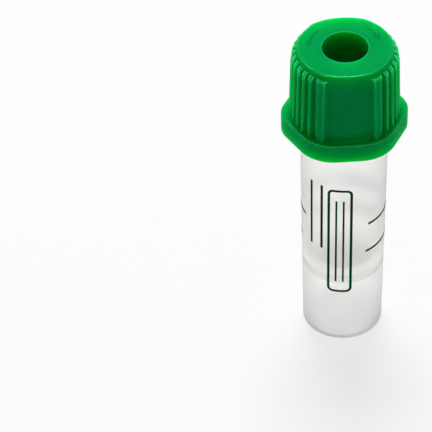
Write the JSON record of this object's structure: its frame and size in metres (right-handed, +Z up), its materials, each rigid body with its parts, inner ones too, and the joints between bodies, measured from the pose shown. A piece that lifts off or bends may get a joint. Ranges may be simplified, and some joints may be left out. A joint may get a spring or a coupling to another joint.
{
  "type": "blood collection tube",
  "caption": "Small capillary blood collection tube with a hollow base skirt and a ribbed pull-off cap with a central well.",
  "frame": {"origin": "centre of the skirt's open rim, on which the tube stands", "axes": "+Z up along the tube towards the cap; -Y is the way one flat grip panel of the cap faces; +X is the way one ribbed side faces"},
  "size_m": [0.0144, 0.0126, 0.0417],
  "materials": {
    "tube_plastic": "translucent moulded polypropylene, satin, with dark green printed fill lines",
    "cap_plastic": "satin green moulded plastic"
  },
  "bodies": {
    "tube": {"tube": "tube_plastic"},
    "cap": {"cap": "cap_plastic"}
  },
  "joints": [
    {"name": "cap_pull", "type": "slide", "parent": "tube", "child": "cap", "axis": [0, 0, 1], "range_m": [0, 0.025]}
  ]
}
